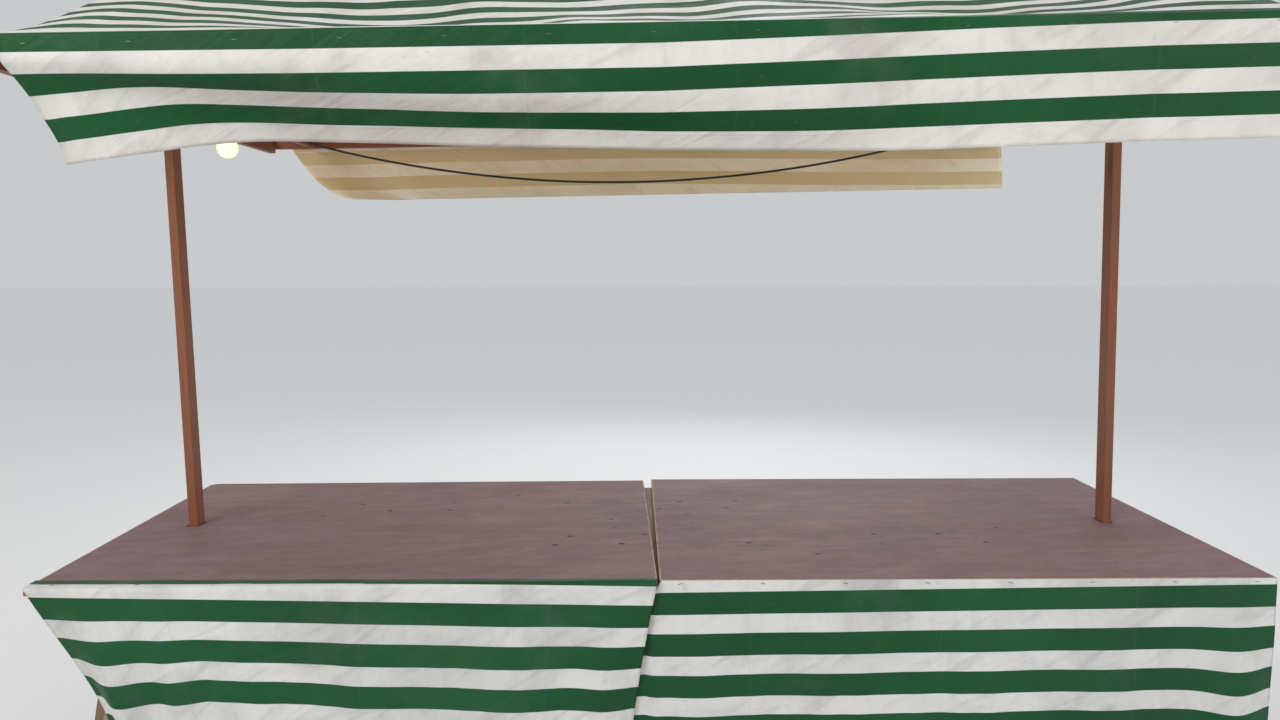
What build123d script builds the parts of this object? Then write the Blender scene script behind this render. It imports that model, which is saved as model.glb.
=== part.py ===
from build123d import *
import os
from math import cos, radians, sin, tan

# Wooden market stall. Two plywood boards lie on three sawhorses and form the counter. Two posts pass
# through the boards and carry a gabled frame with a striped sheet over it. Two skirts of the same
# sheeting hang on the counter's front. +X is the customer's right, -Y faces the customer, +Z is up.
# Millimetres, with the ground at Z = 0 and the origin under the middle of the whole stall.

# Counter
board_length = 1500
board_depth = 1100
board_thickness = 18
counter_height = 820
counter_front = -825
board_gap = 5
left_board_forward = 15
left_board_turn = 1.2
worn_corner_radius = 30
sound_corner_radius = 4
batten_width = 40
batten_height = 30
batten_inset = 60
batten_end_clearance = 15

# Sawhorse trestles
beam_width = 80
beam_height = 60
beam_length = 1000
leg_width = 50
leg_thickness = 30
leg_seat_width = 35
leg_splay = 8
leg_tilt = 6
leg_inset = 90
spreader_height = 50
spreader_thickness = 20
spreader_level = 275
stretcher_width = 25
stretcher_height = 50

# Posts
post_width = 25
post_depth = 50
post_setback = 531
left_post_inset = 155
right_post_inset = 170
post_lean = 1.0
post_hole_clearance = 6
seat_clearance = 0.3

# Roof frame
eave_half_depth = 900
eave_height = 2110
roof_rise = 260
ridge_pole_width = 50
ridge_pole_height = 50
rail_thickness = 30
rail_height = 45
frame_left_overhang = 147
frame_right_overhang = 125
end_rail_thickness = 25
end_rail_height = 50
end_rail_drop = 18
arm_thickness = 25
rafter_depth = 45

# Sheeting
cloth_thickness = 3
cloth_clearance = 0.3
canopy_bare_end = 52
front_sag = 38
back_sag = 55
sag_run = 450
front_hem_height = 1835
back_hem_height = 1855
flap_corner_run = 220
flap_corner_from = 5
swept_from = 50
swept_hem = ((115, 100, 10), (670, 165, 58))
swept_end = 180
skirt_hem_height = 50
left_flap_depth = 70
middle_flap_depth = 24
skirt_middle_level = 480
left_skirt_outer_taper = (170, 250)
left_skirt_inner_taper = (60, 90)
skirt_underlap = 80
underlap_levels = (795, 600)

# Lamps
holder_radius = 20
holder_height = 40
socket_radius = 15
socket_depth = 28
inlet_drop = 30
inlet_radius = 6
inlet_length = 12
bulb_radius = 32
bulb_drop = 55
bulb_cap_radius = 13.5
bulb_neck_radius = 14
bulb_neck_length = 12
lamp_y = 30
cord_diameter = 7
cord_lead = 22

os.makedirs("parts", exist_ok=True)


def keep_shape(shape, name):
    shape.label = name
    export_step(shape, f"parts/{name}.step")


def keep(piece, name):
    keep_shape(piece.part, name)


# The left board is turned a little about its front right corner, so the gap between the boards
# widens towards the back. The seam's place puts the origin in the middle of the whole width.
turn = radians(left_board_turn)
worn_loss = worn_corner_radius * (cos(turn) + sin(turn) - 1)
left_reach = board_gap / 2 + board_length * cos(turn) + board_depth * sin(turn) - worn_loss
right_reach = board_gap / 2 + board_length
seam_x = (left_reach - right_reach) / 2
left_board_plane = Plane(
    origin=(seam_x - board_gap / 2, counter_front - left_board_forward, 0),
    x_dir=(cos(turn), sin(turn), 0),
    z_dir=(0, 0, 1),
)
right_board_plane = Plane(origin=(seam_x + board_gap / 2, counter_front, 0))

# Both posts lean a little towards -X, and the whole roof frame is square to them, so its rails rise
# towards +X. Each post is placed by its middle line at the counter top.
lean = radians(post_lean)
along_rails = (cos(lean), 0, sin(lean))
up_posts = (-sin(lean), 0, cos(lean))
left_post_x = seam_x - right_reach + left_post_inset
right_post_x = seam_x + right_reach - right_post_inset
post_y = counter_front + post_setback


def post_x_at(post_x, height):
    return post_x - tan(lean) * (height - counter_height)


def beside_left_post(low):
    # The right face of the left post stands furthest right at its lowest level.
    return post_x_at(left_post_x, low) + post_width / 2 + seat_clearance


def beside_right_post(high):
    # The left face of the right post stands furthest left at its highest level.
    return post_x_at(right_post_x, high) - post_width / 2 - seat_clearance


# The trestles stand under both ends and under the seam. The end ones touch the posts.
beam_top = counter_height - board_thickness
beam_y = counter_front + board_depth / 2
stretcher_top = spreader_level + stretcher_height
trestle_x = {
    "left": beside_left_post(beam_top - beam_height) + beam_width / 2,
    "middle": seam_x - board_depth * sin(turn) / 2,
    "right": beside_right_post(beam_top) - beam_width / 2,
}
stretcher_x = {
    "left": beside_left_post(spreader_level) + stretcher_width / 2,
    "middle": trestle_x["middle"],
    "right": beside_right_post(stretcher_top) - stretcher_width / 2,
}
splay = tan(radians(leg_splay))
tilt = radians(leg_tilt)


def leg_plane(x, end):
    # The inner face of the front (end = -1) or back (end = 1) legs, level with the beam's top.
    top_y = beam_y + end * (beam_length / 2 - leg_inset)
    return Plane(
        origin=(x, top_y, beam_top),
        x_dir=(-end, 0, 0),
        z_dir=(0, end * cos(tilt), sin(tilt)),
    )


def leg_outside(drop):
    # How far the outer edge of a leg stands from the trestle's middle, drop below the beam's top.
    return beam_width / 2 + leg_seat_width + splay * drop


def along_leg(drop):
    return drop / cos(tilt)


def trestle_legs(x, end):
    # Each leg's head is bevelled to lie flat on the beam's cheek, and its foot is cut level.
    across = leg_width / cos(radians(leg_splay))
    reach = along_leg(beam_top) + leg_width
    bevel = (across - leg_seat_width) / splay
    with BuildPart() as legs:
        with BuildSketch(leg_plane(x, end)):
            with BuildLine():
                Polyline(
                    (beam_width / 2, leg_width),
                    (beam_width / 2, -bevel),
                    (leg_outside(reach) - across, -reach),
                    (leg_outside(reach), -reach),
                    (leg_outside(-leg_width), leg_width),
                    close=True,
                )
            make_face()
            mirror(about=Plane.YZ)
        extrude(amount=leg_thickness)
        split(bisect_by=Plane.XY, keep=Keep.TOP)
        split(bisect_by=Plane.XY.offset(beam_top), keep=Keep.BOTTOM)
    return legs


def trestle_spreaders(x):
    # One board across the inner faces of each pair of legs, sawn flush with their outer edges.
    low = along_leg(beam_top - spreader_level)
    high = along_leg(beam_top - spreader_level - spreader_height)
    with BuildPart() as spreaders:
        for end in (-1, 1):
            with BuildSketch(leg_plane(x, end)):
                with BuildLine():
                    Polyline(
                        (-leg_outside(low), -low),
                        (leg_outside(low), -low),
                        (leg_outside(high), -high),
                        (-leg_outside(high), -high),
                        close=True,
                    )
                make_face()
            extrude(amount=-spreader_thickness)
    return spreaders


def trestle_stretcher(side):
    # The lengthwise board runs between the spreaders, and its ends are sawn to their tilt.
    with BuildPart() as stretcher:
        with BuildSketch(Plane.XY.offset(spreader_level)):
            with Locations((stretcher_x[side], beam_y)):
                Rectangle(stretcher_width, 2 * beam_length)
        extrude(amount=stretcher_height)
        for end in (-1, 1):
            inner_face = leg_plane(trestle_x[side], end).offset(-spreader_thickness)
            split(bisect_by=inner_face, keep=Keep.BOTTOM)
    return stretcher


for side, x in trestle_x.items():
    with BuildPart() as beam:
        with BuildSketch(Plane.XY.offset(beam_top - beam_height)):
            with Locations((x, beam_y)):
                Rectangle(beam_width, beam_length)
        extrude(amount=beam_height)
    keep(beam, f"{side}_trestle_beam")
    keep(trestle_legs(x, -1), f"{side}_trestle_front_legs")
    keep(trestle_legs(x, 1), f"{side}_trestle_back_legs")
    keep(trestle_spreaders(x), f"{side}_trestle_spreaders")
    keep(trestle_stretcher(side), f"{side}_trestle_stretcher")


def counter_board(plane, run, post_x, worn_radius):
    # The board runs from its front inner corner towards -X (run = -1) or +X (run = 1). Its outer
    # back corner is rounded off by wear.
    with BuildPart() as board:
        with BuildSketch(plane.offset(beam_top)):
            with Locations((run * board_length / 2, board_depth / 2)):
                Rectangle(board_length, board_depth)
        extrude(amount=board_thickness)
        with BuildSketch(Plane.XY.offset(beam_top)):
            with Locations((post_x_at(post_x, counter_height - board_thickness / 2), post_y)):
                Rectangle(post_width + 2 * post_hole_clearance, post_depth + 2 * post_hole_clearance)
        extrude(amount=board_thickness, mode=Mode.SUBTRACT)
        outer_edges = board.edges().filter_by(Axis.Z).sort_by(Axis((0, 0, 0), (run, 0, 0)))[-2:]
        fillet(outer_edges.sort_by(Axis.Y)[-1], worn_radius)
    return board


left_board = counter_board(left_board_plane, -1, left_post_x, worn_corner_radius)
right_board = counter_board(right_board_plane, 1, right_post_x, sound_corner_radius)
keep(left_board, "left_counter_board")
keep(right_board, "right_counter_board")


def board_battens(plane, low_x, high_x):
    # The two battens stiffen the board between the trestles and are sawn off clear of their legs.
    leg_reach = leg_outside(batten_height) + batten_end_clearance
    inset = batten_inset + batten_width / 2
    with BuildPart() as battens:
        with BuildSketch(plane.offset(beam_top)):
            with Locations((0, inset), (0, board_depth - inset)):
                Rectangle(2 * board_length, batten_width)
        extrude(amount=-batten_height)
        split(bisect_by=Plane.YZ.offset(low_x + leg_reach), keep=Keep.TOP)
        split(bisect_by=Plane.YZ.offset(high_x - leg_reach), keep=Keep.BOTTOM)
    return battens


keep(board_battens(left_board_plane, trestle_x["left"], trestle_x["middle"]), "left_board_battens")
keep(board_battens(right_board_plane, trestle_x["middle"], trestle_x["right"]), "right_board_battens")

# The leaning frame has planes of its own: one across the posts, one across the rails and one that
# faces the customer. Its heights are measured up the posts and its places along the rails.
across_posts = Plane(origin=(0, 0, 0), x_dir=along_rails, z_dir=up_posts)
across_rails = Plane(origin=(0, 0, 0), x_dir=(0, 1, 0), z_dir=along_rails)
facing_front = Plane(origin=(0, 0, 0), x_dir=along_rails, z_dir=(0, -1, 0))


def place_along(post_x):
    # Where a post's middle line stands, measured along the rails.
    return post_x * cos(lean) + counter_height * sin(lean)


left_post_place = place_along(left_post_x)
right_post_place = place_along(right_post_x)

# Roof lines. The wood lies under the inner face of the sheet, from the ridge down to both eaves.
ridge_height = eave_height + roof_rise
frame_half_depth = eave_half_depth - cloth_thickness - cloth_clearance
front_slope = roof_rise / (post_y + frame_half_depth)
back_slope = roof_rise / (frame_half_depth - post_y)
rail_base = eave_height - rail_height
pole_front = post_y - ridge_pole_width / 2
pole_back = post_y + ridge_pole_width / 2
pole_base = ridge_height - ridge_pole_height
rail_inner = frame_half_depth - rail_thickness
inner_side = frame_half_depth + cloth_clearance
frame_left = left_post_place - frame_left_overhang
frame_right = right_post_place + frame_right_overhang


def roof_at(y):
    slope = front_slope if y < post_y else back_slope
    return ridge_height - slope * abs(y - post_y)


def sag_slopes(end, sag):
    # The sheet's slopes beside the ridge and beside the eave, where it sags most halfway between.
    half_run = abs(end * inner_side - post_y) / 2
    return (roof_rise / 2 + sag) / half_run, (roof_rise / 2 - sag) / half_run


# The posts carry the ridge pole on their heads, and their feet are cut level.
for name, place in (("left_post", left_post_place), ("right_post", right_post_place)):
    with BuildPart() as post:
        with BuildSketch(across_posts.offset(pole_base)):
            with Locations((place, post_y)):
                Rectangle(post_width, post_depth)
        extrude(amount=-ridge_height)
        split(bisect_by=Plane.XY, keep=Keep.TOP)
    keep(post, name)


def bar(points, low, high):
    # A straight bar along the rails with the section that the points give.
    with BuildPart() as piece:
        with BuildSketch(across_rails.offset(low)):
            with BuildLine():
                Polyline(*points, close=True)
            make_face()
        extrude(amount=high - low)
    return piece


# The ridge pole and the eave rails are planed on top to the slopes of the sagging sheet.
front_upper_slope, front_lower_slope = sag_slopes(-1, front_sag)
back_upper_slope, back_lower_slope = sag_slopes(1, back_sag)
pole_points = (
    (pole_front, pole_base),
    (pole_back, pole_base),
    (pole_back, ridge_height - back_upper_slope * ridge_pole_width / 2),
    (post_y, ridge_height),
    (pole_front, ridge_height - front_upper_slope * ridge_pole_width / 2),
)
keep(bar(pole_points, frame_left, frame_right), "ridge_pole")
eave_rails = (("front_eave_rail", -1, front_lower_slope), ("back_eave_rail", 1, back_lower_slope))
for name, end, slope in eave_rails:
    rail_points = (
        (end * frame_half_depth, rail_base),
        (end * rail_inner, rail_base),
        (end * rail_inner, eave_height + slope * rail_thickness),
        (end * frame_half_depth, eave_height),
    )
    keep(bar(rail_points, frame_left, frame_right), name)


def between_rails(low, height):
    # The section of a bar that fills the width between the two eave rails.
    return (
        (-rail_inner, low),
        (rail_inner, low),
        (rail_inner, low + height),
        (-rail_inner, low + height),
    )


# The end rails are nailed between the ends of the eave rails and hang a little below them.
end_rail_points = between_rails(rail_base - end_rail_drop, end_rail_height)
keep(bar(end_rail_points, frame_left, frame_left + end_rail_thickness), "left_end_rail")
keep(bar(end_rail_points, frame_right - end_rail_thickness, frame_right), "right_end_rail")

# Each truss lies on the inner side of its post: a cross arm between the eave rails and two rafters
# that stand on it with a level heel cut and butt against the ridge pole with a plumb cut.
arm_low = {
    "left": left_post_place + post_width / 2 + seat_clearance,
    "right": right_post_place - post_width / 2 - seat_clearance - arm_thickness,
}


def rafter_points(end):
    slope = front_slope if end < 0 else back_slope
    pole_side = post_y + end * ridge_pole_width / 2
    plumb_depth = rafter_depth * (1 + slope**2) ** 0.5
    rail_top = roof_at(end * rail_inner)
    heel = rail_inner - (plumb_depth - (rail_top - eave_height)) / slope
    return (
        (end * rail_inner, eave_height),
        (end * rail_inner, rail_top),
        (pole_side, roof_at(pole_side)),
        (pole_side, roof_at(pole_side) - plumb_depth),
        (end * heel, eave_height),
    )


for side, low in arm_low.items():
    high = low + arm_thickness
    keep(bar(between_rails(rail_base, rail_height), low, high), f"{side}_cross_arm")
    keep(bar(rafter_points(-1), low, high), f"{side}_front_rafter")
    keep(bar(rafter_points(1), low, high), f"{side}_back_rafter")

# The canopy is one sheet, made as flat panels that meet at its creases. It runs up the front
# valance, over the gable and down the back flap. It leaves the frame's left end bare and ends level
# with its right end.
canopy_left = frame_left + canopy_bare_end
left_truss = arm_low["left"] + arm_thickness
right_truss = arm_low["right"]
sheet_eave = eave_height + cloth_clearance
sheet_ridge = ridge_height + cloth_clearance
sheet_rise = cloth_thickness * (1 + front_slope**2) ** 0.5
upward = Vector(*up_posts) * sheet_rise


def flat_panel(corners, thickened):
    # A flat panel whose inner face has these corners, measured in the leaning frame.
    points = [across_posts.from_local_coords(Vector(*corner)) for corner in corners]
    first, second, third = points[:3]
    inner_face = Plane(origin=first, x_dir=second - first, z_dir=(second - first).cross(third - first))
    with BuildPart() as panel:
        with BuildSketch(inner_face):
            with BuildLine():
                Polyline(*(inner_face.to_local_coords(point) for point in points), close=True)
            make_face()
        extrude(amount=thickened.length, dir=thickened)
    return panel.part.solid()


def sagging_slope(end, sag):
    # The sheet lies straight over the trusses and hangs down between them, most along a crease
    # halfway up the slope.
    eave_y = end * inner_side
    middle_y = (eave_y + post_y) / 2
    middle_height = (sheet_eave + sheet_ridge) / 2 - sag
    places = (canopy_left, left_truss, right_truss, frame_right)
    left_end, left_eave, right_eave, right_end = ((place, eave_y, sheet_eave) for place in places)
    left_edge, left_ridge, right_ridge, right_edge = ((place, post_y, sheet_ridge) for place in places)
    left_crease = (left_truss + sag_run, middle_y, middle_height)
    right_crease = (right_truss - sag_run, middle_y, middle_height)
    panels = (
        (left_end, left_eave, left_ridge, left_edge),
        (left_eave, left_ridge, left_crease),
        (left_eave, right_eave, right_crease, left_crease),
        (left_ridge, right_ridge, right_crease, left_crease),
        (right_eave, right_ridge, right_crease),
        (right_eave, right_end, right_edge, right_ridge),
    )
    return [flat_panel(corners, upward) for corners in panels]


# The front valance hangs straight at its right end. Further left its hem is swept in under the
# roof, below a crease that runs from the left end's eave down to the hem.
sheet_top = sheet_eave + sheet_rise
crease_start = (canopy_left, -inner_side, sheet_eave - swept_from)
crease_end = (frame_right - swept_end, -inner_side, front_hem_height)
hem_corner, hem_middle = (
    (canopy_left + along, -inner_side + inward, front_hem_height + lift) for along, inward, lift in swept_hem
)
front_panels = (
    (
        (canopy_left, -inner_side, sheet_top),
        (frame_right, -inner_side, sheet_top),
        (frame_right, -inner_side, front_hem_height),
        crease_end,
        crease_start,
    ),
    (crease_start, hem_corner, hem_middle),
    (crease_start, hem_middle, crease_end),
)

# The back flap hangs straight, and its left corner is drawn up to just below the eave.
back_panel = (
    (canopy_left, inner_side, sheet_top),
    (frame_right, inner_side, sheet_top),
    (frame_right, inner_side, back_hem_height),
    (canopy_left + flap_corner_run, inner_side, back_hem_height),
    (canopy_left, inner_side, eave_height - flap_corner_from),
)
canopy_panels = sagging_slope(-1, front_sag) + sagging_slope(1, back_sag)
canopy_panels += [flat_panel(corners, Vector(0, -cloth_thickness, 0)) for corners in front_panels]
canopy_panels.append(flat_panel(back_panel, Vector(0, cloth_thickness, 0)))
keep_shape(Compound(canopy_panels), "canopy_sheet")


def front_face(plane):
    # The upright plane of a board's front edge, drawn on in X and Z.
    return Plane(origin=plane.origin, x_dir=plane.x_dir, z_dir=-plane.y_dir)


# The left skirt is folded over the board's edge onto its top. Both of its sides draw in towards
# the hem.
flap_level = counter_height + cloth_clearance
outer_taper = left_skirt_outer_taper
inner_taper = left_skirt_inner_taper
with BuildPart() as left_skirt:
    with BuildSketch(front_face(left_board_plane).offset(cloth_clearance)):
        with BuildLine():
            top = Line((-board_length, flap_level + cloth_thickness), (0, flap_level + cloth_thickness))
            ThreePointArc(
                top @ 1,
                (-inner_taper[0], skirt_middle_level),
                (-inner_taper[1], skirt_hem_height),
            )
            Line((-inner_taper[1], skirt_hem_height), (outer_taper[1] - board_length, skirt_hem_height))
            ThreePointArc(
                (outer_taper[1] - board_length, skirt_hem_height),
                (outer_taper[0] - board_length, skirt_middle_level),
                top @ 0,
            )
        make_face()
    extrude(amount=cloth_thickness)
    with BuildSketch(left_board_plane.offset(flap_level)):
        with BuildLine():
            Polyline(
                (-board_length, -cloth_clearance),
                (0, -cloth_clearance),
                (0, middle_flap_depth),
                (-board_length, left_flap_depth),
                close=True,
            )
        make_face()
    extrude(amount=cloth_thickness)
keep(left_skirt, "left_skirt")

# The right skirt is tacked to the board's front edge. Its inner side widens below the boards and
# hangs behind the left skirt.
with BuildPart() as right_skirt:
    with BuildSketch(front_face(right_board_plane).offset(cloth_clearance)):
        with BuildLine():
            Polyline(
                (0, counter_height),
                (0, underlap_levels[0]),
                (-skirt_underlap, underlap_levels[1]),
                (-skirt_underlap, skirt_hem_height),
                (board_length, skirt_hem_height),
                (board_length, counter_height),
                close=True,
            )
        make_face()
    extrude(amount=cloth_thickness)
keep(right_skirt, "right_skirt")

# A lamp holder is nailed under each cross arm. The cord enters both from the middle, so an inlet
# points along the rails (1) or back along them (-1).
lamps = (
    (arm_low["left"] + arm_thickness / 2, 1),
    (arm_low["right"] + arm_thickness / 2, -1),
)
inlet_height = rail_base - inlet_drop
inlet_reach = holder_radius + inlet_length

with BuildPart() as lamp_holders:
    for place, inward in lamps:
        with BuildSketch(across_posts.offset(rail_base)):
            with Locations((place, lamp_y)):
                Circle(holder_radius)
        extrude(amount=-holder_height)
        with BuildSketch(across_rails.offset(place)):
            with Locations((lamp_y, inlet_height)):
                Circle(inlet_radius)
        extrude(amount=inward * inlet_reach)
        with BuildSketch(across_posts.offset(rail_base - holder_height)):
            with Locations((place, lamp_y)):
                Circle(socket_radius)
        extrude(amount=socket_depth, mode=Mode.SUBTRACT)
keep(lamp_holders, "lamp_holders")

# Each bulb's cap stands in its socket, and the glass neck opens into the globe.
mouth = rail_base - holder_height
bulb_plane = facing_front.offset(-lamp_y)
with BuildPart() as bulbs:
    for place, _ in lamps:
        neck = (place + bulb_neck_radius, mouth - bulb_neck_length)
        shoulder = (place + bulb_radius, mouth - bulb_drop)
        tip = (place, mouth - bulb_drop - bulb_radius)
        with BuildSketch(bulb_plane):
            with BuildLine():
                Polyline(
                    tip,
                    (place, mouth + socket_depth),
                    (place + bulb_cap_radius, mouth + socket_depth),
                    (place + bulb_cap_radius, mouth),
                    neck,
                )
                TangentArc(shoulder, neck, tangent=(0, 1), tangent_from_first=True)
                RadiusArc(shoulder, tip, bulb_radius)
            make_face()
        revolve(axis=Axis(bulb_plane.from_local_coords((place, 0, 0)), up_posts))
keep(bulbs, "bulbs")

# The lamp cord sags between the two inlets. Its route is straight runs joined by tangent arcs,
# each as large as its two runs allow.
cord_leads = []
for place, inward in lamps:
    for reach in (inlet_reach, inlet_reach + cord_lead):
        cord_leads.append(
            across_posts.offset(inlet_height).from_local_coords((place + inward * reach, lamp_y, 0))
        )
left_inlet, left_lead, right_inlet, right_lead = cord_leads
print("cord leads", *cord_leads)
cord_route = [
    left_inlet,
    left_lead,
    (-1240, 30, 2010),
    (-1181, 31, 1996),
    (-1099, 32, 1970),
    (-1004, 34, 1943),
    (-907, 36, 1921),
    (-809, 37, 1902),
    (-709, 38, 1885),
    (-609, 38, 1871),
    (-509, 37, 1859),
    (-409, 35, 1850),
    (-309, 33, 1843),
    (-209, 30, 1839),
    (-109, 28, 1838),
    (-9, 26, 1839),
    (91, 25, 1843),
    (191, 24, 1850),
    (291, 24, 1859),
    (391, 25, 1871),
    (491, 26, 1885),
    (591, 27, 1902),
    (691, 28, 1922),
    (791, 29, 1944),
    (891, 30, 1969),
    (986, 30, 1995),
    (1076, 30, 2021),
    (1140, 30, 2039),
    (1190, 30, 2050),
    (1222, 30, 2055),
    right_lead,
    right_inlet,
]
corners = [Vector(*point) for point in cord_route]
arc_share = 0.45
cord_radii = []
for before, here, after in zip(corners, corners[1:], corners[2:]):
    turned = radians((here - before).get_angle(after - here))
    shorter_run = min((here - before).length, (after - here).length)
    cord_radii.append(arc_share * shorter_run / tan(turned / 2))
print("cord radii", [round(radius) for radius in cord_radii])
with BuildPart() as lamp_cord:
    with BuildLine() as cord_line:
        FilletPolyline(*cord_route, radius=cord_radii)
    with BuildSketch(Plane(origin=left_inlet, z_dir=along_rails)):
        Circle(cord_diameter / 2)
    sweep()
print("cord length", round(cord_line.wires()[0].length))
keep(lamp_cord, "lamp_cord")
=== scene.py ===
from math import cos, exp, hypot, pi, radians, sin, tan

import bmesh
import bpy
import numpy as np
from mathutils import Matrix, Vector, noise


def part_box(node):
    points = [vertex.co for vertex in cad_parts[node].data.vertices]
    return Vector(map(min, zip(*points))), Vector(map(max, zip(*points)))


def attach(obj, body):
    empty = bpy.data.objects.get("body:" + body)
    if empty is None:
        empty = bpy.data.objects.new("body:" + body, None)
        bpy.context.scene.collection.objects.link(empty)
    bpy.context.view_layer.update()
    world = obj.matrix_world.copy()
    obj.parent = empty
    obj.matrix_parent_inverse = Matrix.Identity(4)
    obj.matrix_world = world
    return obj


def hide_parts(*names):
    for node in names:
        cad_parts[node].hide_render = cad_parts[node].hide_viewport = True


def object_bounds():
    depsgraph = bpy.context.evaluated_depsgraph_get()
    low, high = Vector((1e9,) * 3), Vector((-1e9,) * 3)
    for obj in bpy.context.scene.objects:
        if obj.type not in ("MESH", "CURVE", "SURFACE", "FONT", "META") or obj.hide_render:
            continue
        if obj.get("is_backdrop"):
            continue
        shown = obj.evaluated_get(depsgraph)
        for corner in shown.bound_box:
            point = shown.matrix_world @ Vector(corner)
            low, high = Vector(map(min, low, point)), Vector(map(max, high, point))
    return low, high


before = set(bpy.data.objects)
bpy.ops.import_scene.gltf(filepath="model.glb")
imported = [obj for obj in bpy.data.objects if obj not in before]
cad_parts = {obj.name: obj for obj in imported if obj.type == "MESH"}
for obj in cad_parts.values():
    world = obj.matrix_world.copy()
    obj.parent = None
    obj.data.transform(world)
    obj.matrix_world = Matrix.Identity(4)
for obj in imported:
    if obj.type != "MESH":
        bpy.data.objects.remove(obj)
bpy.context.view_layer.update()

# Sawhorse trestles. Each is a beam on two pairs of splayed legs, tied by spreaders and a stretcher.
# They are sawn from cheap softwood, nailed through every joint, and have gone grey and dusty.


def paint(red, green, blue):
    """A shader socket's colour from the 0 to 255 values that a screen shows it with."""
    return (*[((value / 255 + 0.055) / 1.055) ** 2.4 for value in (red, green, blue)], 1.0)


def new_finish(name, roughness):
    """An empty finish: the material, its node tree and its shader."""
    finish = bpy.data.materials.new(name)
    finish.use_nodes = True
    shader = finish.node_tree.nodes["Principled BSDF"]
    shader.inputs["Roughness"].default_value = roughness
    return finish, finish.node_tree, shader


def add_node(tree, kind, sockets, **settings):
    """A shader node whose sockets each get a value or the output that feeds them."""
    node = tree.nodes.new("ShaderNode" + kind)
    for setting, value in settings.items():
        setattr(node, setting, value)
    for socket, value in sockets.items():
        if isinstance(value, bpy.types.NodeSocket):
            tree.links.new(value, node.inputs[socket])
        else:
            node.inputs[socket].default_value = value
    return node


def read_attribute(tree, name, output="Vector"):
    return add_node(tree, "Attribute", {}, attribute_name=name).outputs[output]


def object_place(tree):
    return add_node(tree, "TexCoord", {}).outputs["Object"]


# The helpers from here on find the node tree from the first output that they are given.


def stretch(place, scale, turn=0.0):
    """Places turned about Z and then stretched, so that a pattern that reads them shrinks by scale."""
    if turn:
        sockets = {"Vector": place, "Rotation": (0, 0, turn)}
        place = add_node(place.id_data, "Mapping", sockets).outputs[0]
    return add_node(place.id_data, "Mapping", {"Vector": place, "Scale": scale}).outputs[0]


def clouds(place, scale=1.0, detail=4.0, rough=0.55, warp=0.0):
    """Soft random patches between 0 and 1, about 1 / scale metres wide."""
    sockets = {"Vector": place, "Scale": scale, "Detail": detail, "Roughness": rough, "Distortion": warp}
    return add_node(place.id_data, "TexNoise", sockets).outputs["Fac"]


def calc(operation, *values):
    """Arithmetic on an output and further outputs or numbers."""
    return add_node(values[0].id_data, "Math", dict(enumerate(values)), operation=operation).outputs[0]


def times(first, second):
    return calc("MULTIPLY", first, second)


def fade(value, low, high, to_low=0.0, to_high=1.0):
    """value's change from low to high as an eased change from to_low to to_high."""
    sockets = {"Value": value, "From Min": low, "From Max": high, "To Min": to_low, "To Max": to_high}
    return add_node(value.id_data, "MapRange", sockets, interpolation_type="SMOOTHSTEP").outputs[0]


def mix(share, first, second):
    """A colour that goes from first to second as share goes from 0 to 1."""
    sockets = {0: share, 6: first, 7: second}
    return add_node(share.id_data, "Mix", sockets, data_type="RGBA").outputs[2]


def tint(colour, where, strength, shade):
    """The colour with a shade over it where a mask is, at the given strength."""
    return mix(times(where, strength), colour, shade)


def feed(shader, colour, roughness):
    links = shader.id_data.links
    links.new(colour, shader.inputs["Base Color"])
    links.new(roughness, shader.inputs["Roughness"])


def raise_surface(shader, height, depth, strength=1.0):
    """Relief of the given depth in metres on the shader."""
    sockets = {"Height": height, "Distance": depth, "Strength": strength}
    tree = shader.id_data
    tree.links.new(add_node(tree, "Bump", sockets).outputs[0], shader.inputs["Normal"])


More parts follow.
